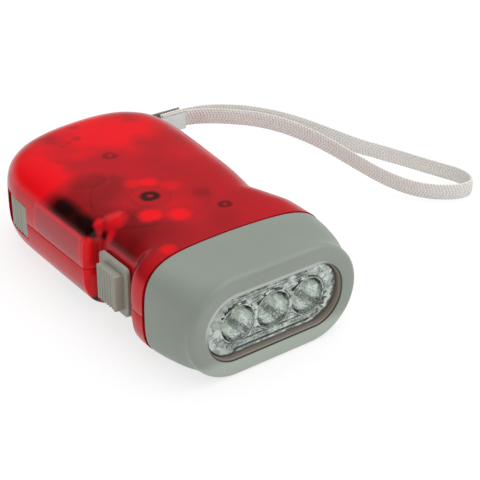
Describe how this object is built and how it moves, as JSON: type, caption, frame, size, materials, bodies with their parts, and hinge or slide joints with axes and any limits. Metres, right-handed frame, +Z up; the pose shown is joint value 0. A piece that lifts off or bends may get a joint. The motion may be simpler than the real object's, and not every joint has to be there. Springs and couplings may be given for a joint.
{
  "type": "hand-press dynamo flashlight",
  "caption": "Pocket flashlight with a squeeze lever that drives a gear train and dynamo, lamps behind a clear window, a thumb switch, a lever latch and a wrist strap.",
  "frame": {"origin": "on the resting plane, under the middle of the torch without its strap", "axes": "+Z up from the flat underside, -Y the way the lamps shine, +X the side of the squeeze lever, -X the side of the switch and the latch"},
  "size_m": [0.1318, 0.105, 0.0276],
  "materials": {
    "red_shell": "transparent red, polished",
    "red_lever": "transparent red, polished",
    "grey_head": "satin grey-green",
    "clear_lens": "clear, polished",
    "chrome_reflector": "vacuum plated plastic",
    "led_epoxy": "clear resin",
    "circuit_board": "green solder mask",
    "spring_wire": "drawn wire",
    "nylon_gear": "natural nylon",
    "magnet_ring": "dark plastic-bonded ferrite",
    "shaft_steel": "ground",
    "nylon_plate": "moulded",
    "core_iron": "stacked sheet",
    "copper_winding": "enamelled copper wire",
    "cell_skin": "heat-shrunk sleeve",
    "contact_steel": "nickel plated",
    "grey_buttons": "satin grey-green",
    "switch_black": "moulded",
    "screw_steel": "zinc plated",
    "crimp_steel": "nickel plated sheet",
    "strap_fabric": "woven polyester tape"
  },
  "bodies": {
    "housing": {"bottom_shell": "red_shell", "top_shell": "red_shell", "head_bezel": "grey_head", "window_lens": "clear_lens", "reflector": "chrome_reflector", "led_1": "led_epoxy", "led_2": "led_epoxy", "led_3": "led_epoxy", "lamp_board": "circuit_board", "charging_board": "circuit_board", "lever_shaft": "shaft_steel", "first_shaft": "shaft_steel", "second_shaft": "shaft_steel", "rotor_shaft": "shaft_steel", "bearing_plate": "nylon_plate", "stator_core": "core_iron", "coil_bobbin": "nylon_plate", "coil_winding": "copper_winding", "battery_cell_1": "cell_skin", "battery_cell_2": "cell_skin", "battery_cell_3": "cell_skin", "contact_left": "contact_steel", "contact_right": "contact_steel", "switch_body": "switch_black", "screw_1": "screw_steel", "screw_2": "screw_steel", "screw_3": "screw_steel", "screw_4": "screw_steel", "strap_post": "shaft_steel"},
    "lever": {"squeeze_lever": "red_lever", "lever_spring": "spring_wire"},
    "first_gear_body": {"first_gear": "nylon_gear"},
    "second_gear_body": {"second_gear": "nylon_gear"},
    "rotor": {"rotor_pinion": "nylon_gear", "rotor_magnet": "magnet_ring"},
    "switch": {"switch_thumb": "grey_buttons"},
    "latch": {"latch_slider": "grey_buttons"},
    "strap": {"strap_crimp": "crimp_steel", "wrist_strap": "strap_fabric"}
  },
  "joints": [
    {"name": "lever_pivot", "type": "hinge", "parent": "housing", "child": "lever", "pos_m": [0.016, -0.0135, 0.0138], "axis": [0, 0, -1], "range_deg": [0, 22]},
    {"name": "first_gear_spin", "type": "hinge", "parent": "housing", "child": "first_gear_body", "pos_m": [-0.00071, 0.0224, 0.0138], "axis": [0, 0, -1], "range_deg": [-116, 2]},
    {"name": "second_gear_spin", "type": "hinge", "parent": "housing", "child": "second_gear_body", "pos_m": [-0.0053, -0.004, 0.0138], "axis": [0, 0, -1], "range_deg": [-3, 436]},
    {"name": "rotor_spin", "type": "hinge", "parent": "housing", "child": "rotor", "pos_m": [-0.01505, 0.01161, 0.0138], "axis": [0, 0, -1], "range_deg": [-1562, 6]},
    {"name": "switch_slide", "type": "slide", "parent": "housing", "child": "switch", "axis": [0, 1, 0], "range_m": [0, 0.0018]},
    {"name": "latch_slide", "type": "slide", "parent": "housing", "child": "latch", "axis": [0, 1, 0], "range_m": [0, 0.0024]},
    {"name": "strap_swing", "type": "hinge", "parent": "housing", "child": "strap", "pos_m": [0.022, 0.0451, 0.0192], "axis": [0, 0, 1], "range_deg": [-4, 7]}
  ],
  "couplings": [
    {"joint": "first_gear_spin", "follows": "lever_pivot", "ratio": -5.1875},
    {"joint": "second_gear_spin", "follows": "lever_pivot", "ratio": 19.638},
    {"joint": "rotor_spin", "follows": "lever_pivot", "ratio": -70.698}
  ]
}
